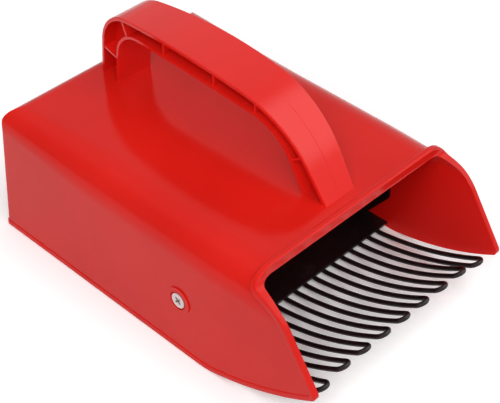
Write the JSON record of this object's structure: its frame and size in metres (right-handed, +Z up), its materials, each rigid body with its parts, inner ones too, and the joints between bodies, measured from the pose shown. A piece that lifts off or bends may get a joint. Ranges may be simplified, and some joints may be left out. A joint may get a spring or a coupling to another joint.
{
  "type": "berry rake",
  "caption": "Hand-held berry picker: a drafted plastic scoop with an arched ribbed handle on top and a comb of bent wire hairpins on a steel tray at its mouth.",
  "frame": {"origin": "middle of the box's underside, on the ground plane that the rim rests on", "axes": "+Z up, -Y out of the mouth along the comb, +X across"},
  "size_m": [0.1354, 0.2076, 0.1143],
  "materials": {
    "red_plastic": "moulded, semi-gloss",
    "black_steel": "black coated",
    "zinc_steel": "zinc plated"
  },
  "bodies": {
    "root": {"housing_shell": "red_plastic", "handle": "red_plastic", "comb_tray": "black_steel", "left_screw": "zinc_steel", "right_screw": "zinc_steel", "left_nut": "zinc_steel", "right_nut": "zinc_steel", "tine_loop_1": "black_steel", "tine_loop_2": "black_steel", "tine_loop_3": "black_steel", "tine_loop_4": "black_steel", "tine_loop_5": "black_steel", "tine_loop_6": "black_steel", "tine_loop_7": "black_steel", "tine_loop_8": "black_steel", "tine_loop_9": "black_steel"}
  },
  "joints": []
}
